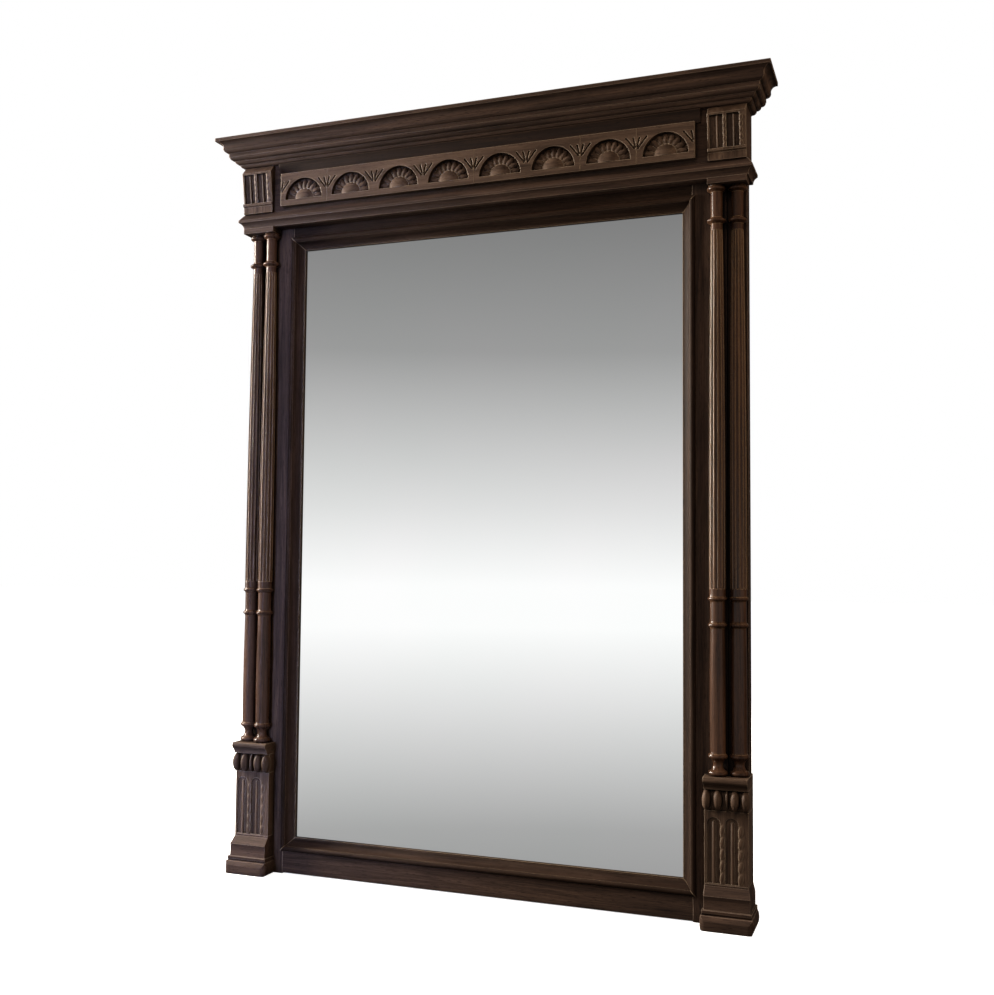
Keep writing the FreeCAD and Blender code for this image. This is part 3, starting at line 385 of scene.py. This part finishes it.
def trim(piece, base):
    """Cuts off what lies under a level plane, and closes the cut."""
    select_only(piece)
    bpy.ops.object.mode_set(mode="EDIT")
    bpy.ops.mesh.select_all(action="SELECT")
    bpy.ops.mesh.bisect(plane_co=(0, 0, base), plane_no=(0, 0, 1), use_fill=True, clear_inner=True)
    bpy.ops.object.mode_set(mode="OBJECT")
    return piece


def carve(piece, cutters):
    """Takes the cutters out of a piece one after another, as a carver makes cuts."""
    for tool in cutters:
        select_only(piece)
        bpy.ops.object.modifier_add(type="BOOLEAN")
        cut = piece.modifiers[-1]
        cut.operation = "DIFFERENCE"
        cut.solver = "EXACT"
        cut.object = tool
        bpy.ops.object.modifier_apply(modifier=cut.name)
        select_only(tool)
        bpy.ops.object.delete()


shell_middle = Vector((low.x + shell_pitch / 2, low.y, low.z + RIM_UNDER_SHELL))
bpy.ops.mesh.primitive_cylinder_add(
    vertices=72,
    radius=SHELL_RADIUS,
    depth=SHELL_DEPTH * 2,
    location=shell_middle,
    rotation=OUT_OF_WALL,
)
carve(panel, [trim(settle(bpy.context.object), shell_middle.z)])
print("sunk half disc:", len(panel.data.polygons), "faces")

# %% [markdown]
# ## The lunette frieze: the fans
# In the triangle between two shells a narrow gouge draws a small fan of straight cuts. A gouge leaves
# a trough with round ends. A ball, flattened and then pulled out to a length, has just that shape, so
# it serves as the cutter. It is held a little off the face, because a cutter whose widest line lies
# exactly in the face doesn't cut cleanly every time.

# %% The fans
FAN_FOOT = 0.028
FAN_HALF_WIDTH = 0.0021
FAN_DEPTH = 0.0034
OFF_THE_FACE = 0.0002
# Each cut's lean in radians, its distance from the foot of the fan and its length.
FAN_CUTS = ((0.24, 0.009, 0.018), (0.66, 0.006, 0.028))


def gouge(start, length, half_width, depth, turn=0.0, square=False):
    """A long round-ended form: a flattened ball whose upper half is pulled along."""
    bpy.ops.mesh.primitive_uv_sphere_add(segments=16, ring_count=8, radius=1)
    tool = bpy.context.object
    tool.scale = (half_width, depth, half_width)
    settle(tool)
    seam = half_width * 0.01
    bpy.ops.object.mode_set(mode="EDIT")
    bpy.ops.mesh.select_all(action="SELECT")
    bpy.ops.mesh.bisect(plane_co=(0, 0, seam), plane_no=(0, 0, 1))
    bpy.ops.mesh.select_all(action="DESELECT")
    bpy.ops.object.mode_set(mode="OBJECT")
    for vertex in tool.data.vertices:
        vertex.select = vertex.co.z > seam / 2
    bpy.ops.object.mode_set(mode="EDIT")
    bpy.ops.transform.translate(value=(0, 0, length))
    if square:
        # the lower half of the ball is pressed flat, for a form with a square foot
        bpy.ops.mesh.select_all(action="INVERT")
        bpy.ops.transform.resize(value=(1, 1, 0), center_override=(0, 0, 0))
    bpy.ops.object.mode_set(mode="OBJECT")
    tool.rotation_euler = (0, turn, 0)
    tool.location = start
    return settle(tool)


cutters = []
for side in (-1, 1):
    end_of_board = low.x + shell_pitch * (1 - side) / 2
    foot = Vector((end_of_board, low.y - OFF_THE_FACE, low.z + FAN_FOOT))
    for lean, start, length in FAN_CUTS:
        out = Vector((side * math.sin(lean), 0, math.cos(lean)))
        place = foot + out * start
        cutters.append(gouge(place, length, FAN_HALF_WIDTH, FAN_DEPTH, turn=side * lean))
carve(panel, cutters)
print("with its fans:", len(panel.data.polygons), "faces")

# %% [markdown]
# ## The lunette frieze: petals and boss
# Nine broad petals lie side by side in the sunk half disc, and spread from a round boss. On the real
# panel they are left standing when the ground is cut away. Added balls give the same soft swell with
# fewer faces: a long one for each petal and a large one for the boss, all cut off at the base line
# so that the plain rim under the shell stays.

# %% Petals and boss
PETALS = 9
PETAL_REACH = 0.032
PETAL_HALF_SIZES = (0.0068, 0.0056, 0.0135)
BOSS_HALF_SIZES = (0.0255, 0.0100, 0.0255)


def egg(name, middle, half_sizes, turn=0.0):
    """A ball stretched to three half sizes, turned in the plane of the wall."""
    bpy.ops.mesh.primitive_uv_sphere_add(segments=24, ring_count=14, radius=1, location=middle)
    piece = bpy.context.object
    piece.name = name
    piece.scale = half_sizes
    piece.rotation_euler = (0, turn, 0)
    return settle(piece)


sunk_middle = shell_middle + Vector((0, SHELL_DEPTH, 0))
swells = []
for petal in range(PETALS):
    angle = math.pi * (petal + 0.5) / PETALS - math.pi / 2
    out = Vector((math.sin(angle), 0, math.cos(angle)))
    swells.append(egg("petal", sunk_middle + out * PETAL_REACH, PETAL_HALF_SIZES, turn=angle))
swells.append(egg("shell_boss", sunk_middle, BOSS_HALF_SIZES))
for swell in swells:
    trim(swell, sunk_middle.z)
print(PETALS, "petals and a boss")

# %% [markdown]
# ## The lunette frieze: the row
# The finished shell is repeated along the frieze. Copies could be set out by hand, but an Array
# modifier keeps their spacing exact. Shading is smooth over the swells and stays crisp at the
# arrises. The carved panel then takes the place of the plain one of the joinery.

# %% The row of shells
SHARP_ARRIS = math.radians(40)


def join(name, pieces):
    """Makes one object of several."""
    select_only(*pieces)
    bpy.ops.object.join()
    result = bpy.context.object
    result.name = name
    return result


def hand_over(piece, finish, node):
    """Smooths a carving and puts it on the mirror in place of the plain piece."""
    select_only(piece)
    bpy.ops.object.shade_smooth_by_angle(angle=SHARP_ARRIS)
    piece.data.materials.clear()
    piece.data.materials.append(finish)
    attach(piece, "root")
    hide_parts(node)
    print(piece.name, len(piece.data.polygons), "faces")


panel = join("carved_frieze_panel", [panel, *swells])
bpy.ops.object.modifier_add(type="ARRAY")
row = panel.modifiers[-1]
row.count = SHELLS
row.use_relative_offset = False
row.use_constant_offset = True
row.constant_offset_displace = (shell_pitch, 0, 0)
bpy.ops.object.modifier_apply(modifier=row.name)
hand_over(panel, oak_frieze, "frieze_panel")

# %% [markdown]
# ## Reeding
# Plinths and brackets share one pattern: a recess with a round rib standing in it, and beside it a
# post that carries a row of scallops. A carver sinks the recess with a chisel and nicks the scallops
# with a gouge. Here the recess is cut out with a block and, where its head is arched, a cylinder.
# Rib and scallops are stretched balls, half sunk in the wood.

# %% Reeding
SCALLOPS = 5
SCALLOP_TURN = 0.14
SCALLOP_SINK = 0.0022
SCALLOP_REACH = 0.0034
# Half width and place of a scallop in shares of its post, half length in shares of the pitch.
SCALLOP_WIDTH, SCALLOP_PLACE, SCALLOP_LENGTH = 0.52, 0.4, 0.56
# The plain wood above the last scallop, in pitches.
SPARE_PITCH = 0.4
# The arch is a hair shallower than its block, so that no two cutters share a plane.
ARCH_SHARE = 0.99


def recess(left, width, face_y, bottom, top, depth, arched):
    """Cutters for an upright recess in a face, with an arched or a square head."""
    radius = width / 2 if arched else 0
    low = (left, face_y - depth, bottom)
    high = (left + width, face_y + depth, top - radius)
    cuts = [block("recess", low, high)]
    if arched:
        bpy.ops.mesh.primitive_cylinder_add(
            vertices=48,
            radius=radius,
            depth=depth * 2 * ARCH_SHARE,
            location=(left + radius, face_y, top - radius),
            rotation=OUT_OF_WALL,
        )
        cuts.append(settle(bpy.context.object))
    return cuts


def reeds(left, widths, face_y, bottom, top, depth):
    """The rib that stands in one recess and the row of scallops on the post beside it."""
    groove, rib, second_groove, post = widths
    rib_foot = Vector((left + groove + rib / 2, face_y + depth, bottom))
    made = [gouge(rib_foot, top - bottom - rib, rib / 2, depth, square=True)]
    pitch = (top - bottom) / (SCALLOPS + SPARE_PITCH)
    half_sizes = (post * SCALLOP_WIDTH, SCALLOP_REACH, pitch * SCALLOP_LENGTH)
    across = left + groove + rib + second_groove + post * SCALLOP_PLACE
    for index in range(SCALLOPS):
        middle = Vector((across, face_y + SCALLOP_SINK, bottom + pitch * (index + 0.5)))
        made.append(egg("scallop", middle, half_sizes, turn=SCALLOP_TURN))
    return made


print("reeding with", SCALLOPS, "scallops to a post")

# %% [markdown]
# ## Plinth dies
# The die is the tall block of the plinth. Its front shows the reeding twice under arched heads, and
# a thin side runs back past the stile to the wall. One block with a notch could make both, but two
# plain blocks that meet at the stile's face are easier to carve.

# %% Plinth dies
SIDES = ("left", "right")
DIE_DEPTH = 0.003
DIE_FOOT_MARGIN = 0.002
DIE_HEAD_MARGIN = 0.013
RIB_BELOW_ARCH = 0.004
# Each recess starts at a distance from the left edge; then the widths of groove, rib, groove, post.
DIE_RECESSES = (
    (0.0050, (0.0095, 0.0070, 0.0090, 0.0095)),
    (0.0400, (0.0100, 0.0070, 0.0080, 0.0105)),
)


def side_return(side, low, high):
    """The thin side of a plinth piece that runs back to the wall past the stile."""
    stile_low, stile_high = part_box(f"{side}_stile")
    inner, outer = (low.x, stile_low.x) if side == "left" else (stile_high.x, high.x)
    return block("return", (inner, stile_low.y, low.z), (outer, high.y, high.z))


for side in SIDES:
    node = f"{side}_plinth_die"
    low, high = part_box(node)
    front_of_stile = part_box(f"{side}_stile")[0].y
    die = block(f"{side}_carved_die", low, (high.x, front_of_stile, high.z))
    pieces = [side_return(side, low, high)]
    bottom = low.z + DIE_FOOT_MARGIN
    top = high.z - DIE_HEAD_MARGIN
    for start, widths in DIE_RECESSES:
        left = low.x + start
        carve(die, recess(left, sum(widths[:3]), low.y, bottom, top, DIE_DEPTH, True))
        pieces += reeds(left, widths, low.y, bottom, top - RIB_BELOW_ARCH, DIE_DEPTH)
    hand_over(join(f"{side}_carved_die", [die, *pieces]), oak_carved, node)

# %% [markdown]
# ## Consoles
# The brackets at the ends of the frieze carry the same reeding on a face that leans forward. It could
# be set out along the slope, but it is simpler to make it upright, and then to lean it as a whole about
# the foot of the face. The side view of the bracket is drawn as a flat shape, with the small ledge
# that the reeding stands on, and pulled out to its width.

# %% Consoles
CONSOLE_DEPTH = 0.0055
# How far the parts of the side view stand before the back of the bracket.
BASE_REACH, LEDGE_REACH, FACE_TOP_REACH, CROWN_REACH = 0.008, 0.0125, 0.018, 0.004
# Their heights above its foot.
LEDGE_FOOT, LEDGE_TOP, SHOULDER = 0.015, 0.023, 0.092
LEDGE_CHAMFER = 0.003
REEDING_BELOW_SHOULDER = 0.003
CONSOLE_RECESSES = (
    (0.0040, (0.0125, 0.0050, 0.0090, 0.0070)),
    (0.0374, (0.0115, 0.0050, 0.0085, 0.0080)),
)


def bar(name, points, x_low, x_high):
    """A moulded bar across the mirror from its section, given as (y, z) points."""
    bpy.ops.mesh.primitive_circle_add(vertices=len(points), radius=1, fill_type="NGON")
    piece = bpy.context.object
    piece.name = name
    for vertex, (y, z) in zip(piece.data.vertices, points):
        vertex.co = (x_low, y, z)
    bpy.ops.object.mode_set(mode="EDIT")
    bpy.ops.mesh.select_all(action="SELECT")
    bpy.ops.mesh.extrude_region_move(TRANSFORM_OT_translate={"value": (x_high - x_low, 0, 0)})
    bpy.ops.mesh.select_all(action="SELECT")
    bpy.ops.mesh.normals_make_consistent(inside=False)
    bpy.ops.object.mode_set(mode="OBJECT")
    return piece


def lean_over(piece, lean, pivot):
    """Turns a piece forward about a level line."""
    select_only(piece)
    bpy.ops.object.mode_set(mode="EDIT")
    bpy.ops.mesh.select_all(action="SELECT")
    bpy.ops.transform.rotate(value=-lean, orient_axis="X", center_override=pivot)
    bpy.ops.object.mode_set(mode="OBJECT")
    return piece


for side in SIDES:
    node = f"{side}_console"
    low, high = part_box(node)
    back = high.y
    base_y = back - BASE_REACH
    ledge_y = back - LEDGE_REACH
    face_top_y = back - FACE_TOP_REACH
    ledge_z = low.z + LEDGE_TOP
    shoulder_z = low.z + SHOULDER
    section = [
        (back, low.z),
        (base_y, low.z),
        (base_y, low.z + LEDGE_FOOT),
        (ledge_y, low.z + LEDGE_FOOT + LEDGE_CHAMFER),
        (ledge_y, ledge_z),
        (base_y, ledge_z),
        (face_top_y, shoulder_z),
        (back - CROWN_REACH, high.z),
        (back, high.z),
    ]
    console = bar(f"{side}_carved_console", section, low.x, high.x)
    pivot = (low.x, base_y, ledge_z)
    lean = math.atan2(base_y - face_top_y, shoulder_z - ledge_z)
    top = shoulder_z - REEDING_BELOW_SHOULDER
    pieces = []
    for start, widths in CONSOLE_RECESSES:
        left = low.x + start
        cutters = recess(left, sum(widths[:3]), base_y, ledge_z, top, CONSOLE_DEPTH, False)
        carve(console, [lean_over(cutter, lean, pivot) for cutter in cutters])
        raised = reeds(left, widths, base_y, ledge_z, top, CONSOLE_DEPTH)
        pieces += [lean_over(piece, lean, pivot) for piece in raised]
    hand_over(join(f"{side}_carved_console", [console, *pieces]), oak_carved, node)

# %% [markdown]
# ## Egg bands
# Under each plinth cap runs a band of two eggs with a dart between them and a leaf wrapped round each
# corner. They could be carved out of a moulding. Stretched balls, half sunk in a plain rounded
# ground, look the same from the front and sides, and need no cutting.

# %% Egg bands
EGG_GROUND = 0.013
GROUND_SWELL = 0.006
GROUND_STEPS = 8
EGG_HEIGHT_SHARE = 0.98
# Leaf, egg, dart, egg and leaf: the place from the left edge, the half width and the reach of each.
EGGS = (
    (0.0055, 0.0090, 0.0140),
    (0.0268, 0.0094, 0.0145),
    (0.0446, 0.0038, 0.0112),
    (0.0596, 0.0096, 0.0145),
    (0.0792, 0.0090, 0.0140),
)
for side in SIDES:
    node = f"{side}_egg_band"
    low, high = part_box(node)
    middle_z = (low.z + high.z) / 2
    half_height = (high.z - low.z) / 2
    ground_y = low.y + EGG_GROUND
    front_of_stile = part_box(f"{side}_stile")[0].y
    section = [(front_of_stile, low.z)]
    for step in range(GROUND_STEPS + 1):
        angle = math.pi * (step / GROUND_STEPS - 0.5)
        swell_y = ground_y + GROUND_SWELL - GROUND_SWELL * math.cos(angle)
        section.append((swell_y, middle_z + half_height * math.sin(angle)))
    section.append((front_of_stile, high.z))
    pieces = [bar("egg_ground", section, low.x, high.x), side_return(side, low, high)]
    for offset, half_width, reach in EGGS:
        centre = Vector((low.x + offset, ground_y, middle_z))
        pieces.append(egg("egg", centre, (half_width, reach, half_height * EGG_HEIGHT_SHARE)))
    hand_over(join(f"{side}_carved_egg_band", pieces), oak_carved, node)

# %% [markdown]
# ## The floor
# The mirror stands on a plain white floor. A brightly lit floor would throw light up at the wood, so
# the white is for the camera alone: to camera rays the floor is white paper that glows a little, which
# keeps it white far away and lets the soft shadow at the feet show. To all other rays it is dim.

# %% White floor
FLOOR_SIZE = 40
FLOOR_DROP = 0.0005
FLOOR_GLOW = 0.8
bpy.ops.mesh.primitive_plane_add(size=FLOOR_SIZE, location=(0, 0, -FLOOR_DROP))
floor = bpy.context.object
floor.name = "floor"
floor.visible_glossy = False
white, tree, output = new_material("white floor")
camera_ray = add(tree, "ShaderNodeLightPath").outputs["Is Camera Ray"]
shares = {0: camera_ray, 1: FLOOR_GLOW}
glow = add(tree, "ShaderNodeMath", shares, operation="MULTIPLY").outputs["Value"]
# Matt paper has no sheen: the eye sees only its white and the shadow on it.
paper = add(tree, "ShaderNodeBsdfDiffuse", {"Color": colour("#f4f4f4")}).outputs["BSDF"]
inputs = {"Color": colour("#ffffff"), "Strength": glow}
shine = add(tree, "ShaderNodeEmission", inputs).outputs["Emission"]
bright = add(tree, "ShaderNodeAddShader", {0: paper, 1: shine}).outputs["Shader"]
dim = add(tree, "ShaderNodeBsdfDiffuse", {"Color": colour("#4c4844")}).outputs["BSDF"]
seen_floor = add(tree, "ShaderNodeMixShader", {"Fac": camera_ray, 1: dim, 2: bright})
tree.links.new(seen_floor.outputs["Shader"], output.inputs["Surface"])
floor.data.materials.append(white)
print(floor.name, FLOOR_SIZE, "m wide")

# %% [markdown]
# ## The world
# The world does three jobs. To the camera it is plain white. In the glass and on polished wood it is
# a tall room: the brightness follows the height that a reflected ray leaves at, is greatest just under
# the horizon, and fades behind the mirror. A modelled room would do the same with far more work. To the
# matt wood the world is a weak light from above.

# %% White room
world = bpy.data.worlds.new("tall white room")
bpy.context.scene.world = world
world.use_nodes = True
tree = world.node_tree
tree.nodes.clear()
way = add(tree, "ShaderNodeTexCoord").outputs["Generated"]
axes = add(tree, "ShaderNodeSeparateXYZ", {"Vector": way}).outputs
limits = {"Value": axes["Z"], "From Min": -0.4, "From Max": 0.4}
height = add(tree, "ShaderNodeMapRange", limits).outputs["Result"]
stops = [
    (0.00, "#6a6a6a"),
    (0.22, "#a9a9a9"),
    (0.43, "#ffffff"),
    (0.475, "#ffffff"),
    (0.56, "#e1e1e1"),
    (0.73, "#9c9c9c"),
    (1.00, "#5a5a5a"),
]
walls = add(tree, "ShaderNodeValToRGB", {"Fac": height}, stops).outputs["Color"]
limits = {"Value": axes["Y"], "From Min": -0.05, "From Max": -0.4, "To Min": 0.08}
in_front = add(tree, "ShaderNodeMapRange", limits).outputs["Result"]
inputs = {"Color": walls, "Strength": in_front}
mirrored = add(tree, "ShaderNodeBackground", inputs).outputs["Background"]
limits = {"Value": axes["Z"], "From Max": 0.9, "To Min": 0.03, "To Max": 0.5}
from_above = add(tree, "ShaderNodeMapRange", limits).outputs["Result"]
inputs = {"Color": colour("#f6f7ff"), "Strength": from_above}
ambient = add(tree, "ShaderNodeBackground", inputs).outputs["Background"]
inputs = {"Color": colour("#ffffff"), "Strength": 1.0}
seen = add(tree, "ShaderNodeBackground", inputs).outputs["Background"]
rays = add(tree, "ShaderNodeLightPath").outputs
inputs = {"Fac": rays["Is Glossy Ray"], 1: ambient, 2: mirrored}
unseen = add(tree, "ShaderNodeMixShader", inputs).outputs["Shader"]
inputs = {"Fac": rays["Is Camera Ray"], 1: unseen, 2: seen}
whole = add(tree, "ShaderNodeMixShader", inputs).outputs["Shader"]
add(tree, "ShaderNodeOutputWorld", {"Surface": whole})
print(world.name, len(tree.nodes), "nodes")

# %% [markdown]
# ## The lamps
# A tall narrow window far on the left does most of the work. Its light rakes across the carving and
# draws a bright line down each colonnette. Four weak lamps stand for walls that throw light back: a
# cool one near the left side, with a narrow beam, warm ones behind the camera and on the right, and the
# room behind the mirror. Only the window may show as a highlight, so the rest are hidden from
# reflections.

# %% Window and walls
COOL_BEAM = math.radians(40)


def lamp(name, place, target, size, power, tint):
    """A soft rectangular lamp that looks at a point; its size is width and height."""
    bpy.ops.object.light_add(type="AREA", location=place)
    made = bpy.context.object
    made.name = name
    made.data.shape = "RECTANGLE"
    made.data.size, made.data.size_y = size
    made.data.energy = power
    made.data.color = colour(tint)[:3]
    made.rotation_euler = (Vector(target) - Vector(place)).to_track_quat("-Z", "Y").to_euler()
    return made


def wall(*described):
    """A lamp that stands for a wall, hidden from reflections."""
    made = lamp(*described)
    made.visible_glossy = False
    return made


lamp("tall window on the left", (-3.0, -0.52, 1.65), (0, 0, 0.9), (0.25, 1.6), 330, "#fff5e8")
cool_wall = wall(
    "cool wall on the left", (-0.75, -1.6, 0.8), (-0.52, 0, 0.7), (0.3, 1.8), 5.5, "#a8c0ff"
)
cool_wall.data.spread = COOL_BEAM
wall("pale wall behind the camera", (-0.2, -2.8, 2.8), (0.4, 0, 0.8), (1.2, 1.6), 30, "#ffe6c8")
wall("pale wall on the right", (2.4, -0.5, 2.0), (0.5, 0, 1.2), (0.8, 1.4), 26, "#ffe4c0")
wall("room behind", (0.7, 2.8, 1.8), (0, 0, 0.8), (1.6, 1.6), 70, "#fff6ea")

# %% [markdown]
# ## The camera
# The picture was taken from the right of the mirror, a little below its middle, with a normal lens.
# Place, turn and focal length could be found by trial. They were worked out from the straight edges
# of the frame, which run to known vanishing points. The Standard view leaves colours as they are.

# %% Camera
CAMERA_PLACE = (0.8822, -2.21245, 0.6908)
CAMERA_TURN = (93.311, -0.494, 20.541)
SENSOR_MM = 36
LENS_MM = 41.047
bpy.ops.object.camera_add(
    location=CAMERA_PLACE, rotation=[math.radians(angle) for angle in CAMERA_TURN]
)
camera = bpy.context.object
camera.data.sensor_width = SENSOR_MM
camera.data.lens = LENS_MM
bpy.context.scene.camera = camera
bpy.context.scene.view_settings.view_transform = "Standard"
print("camera with a", LENS_MM, "mm lens")
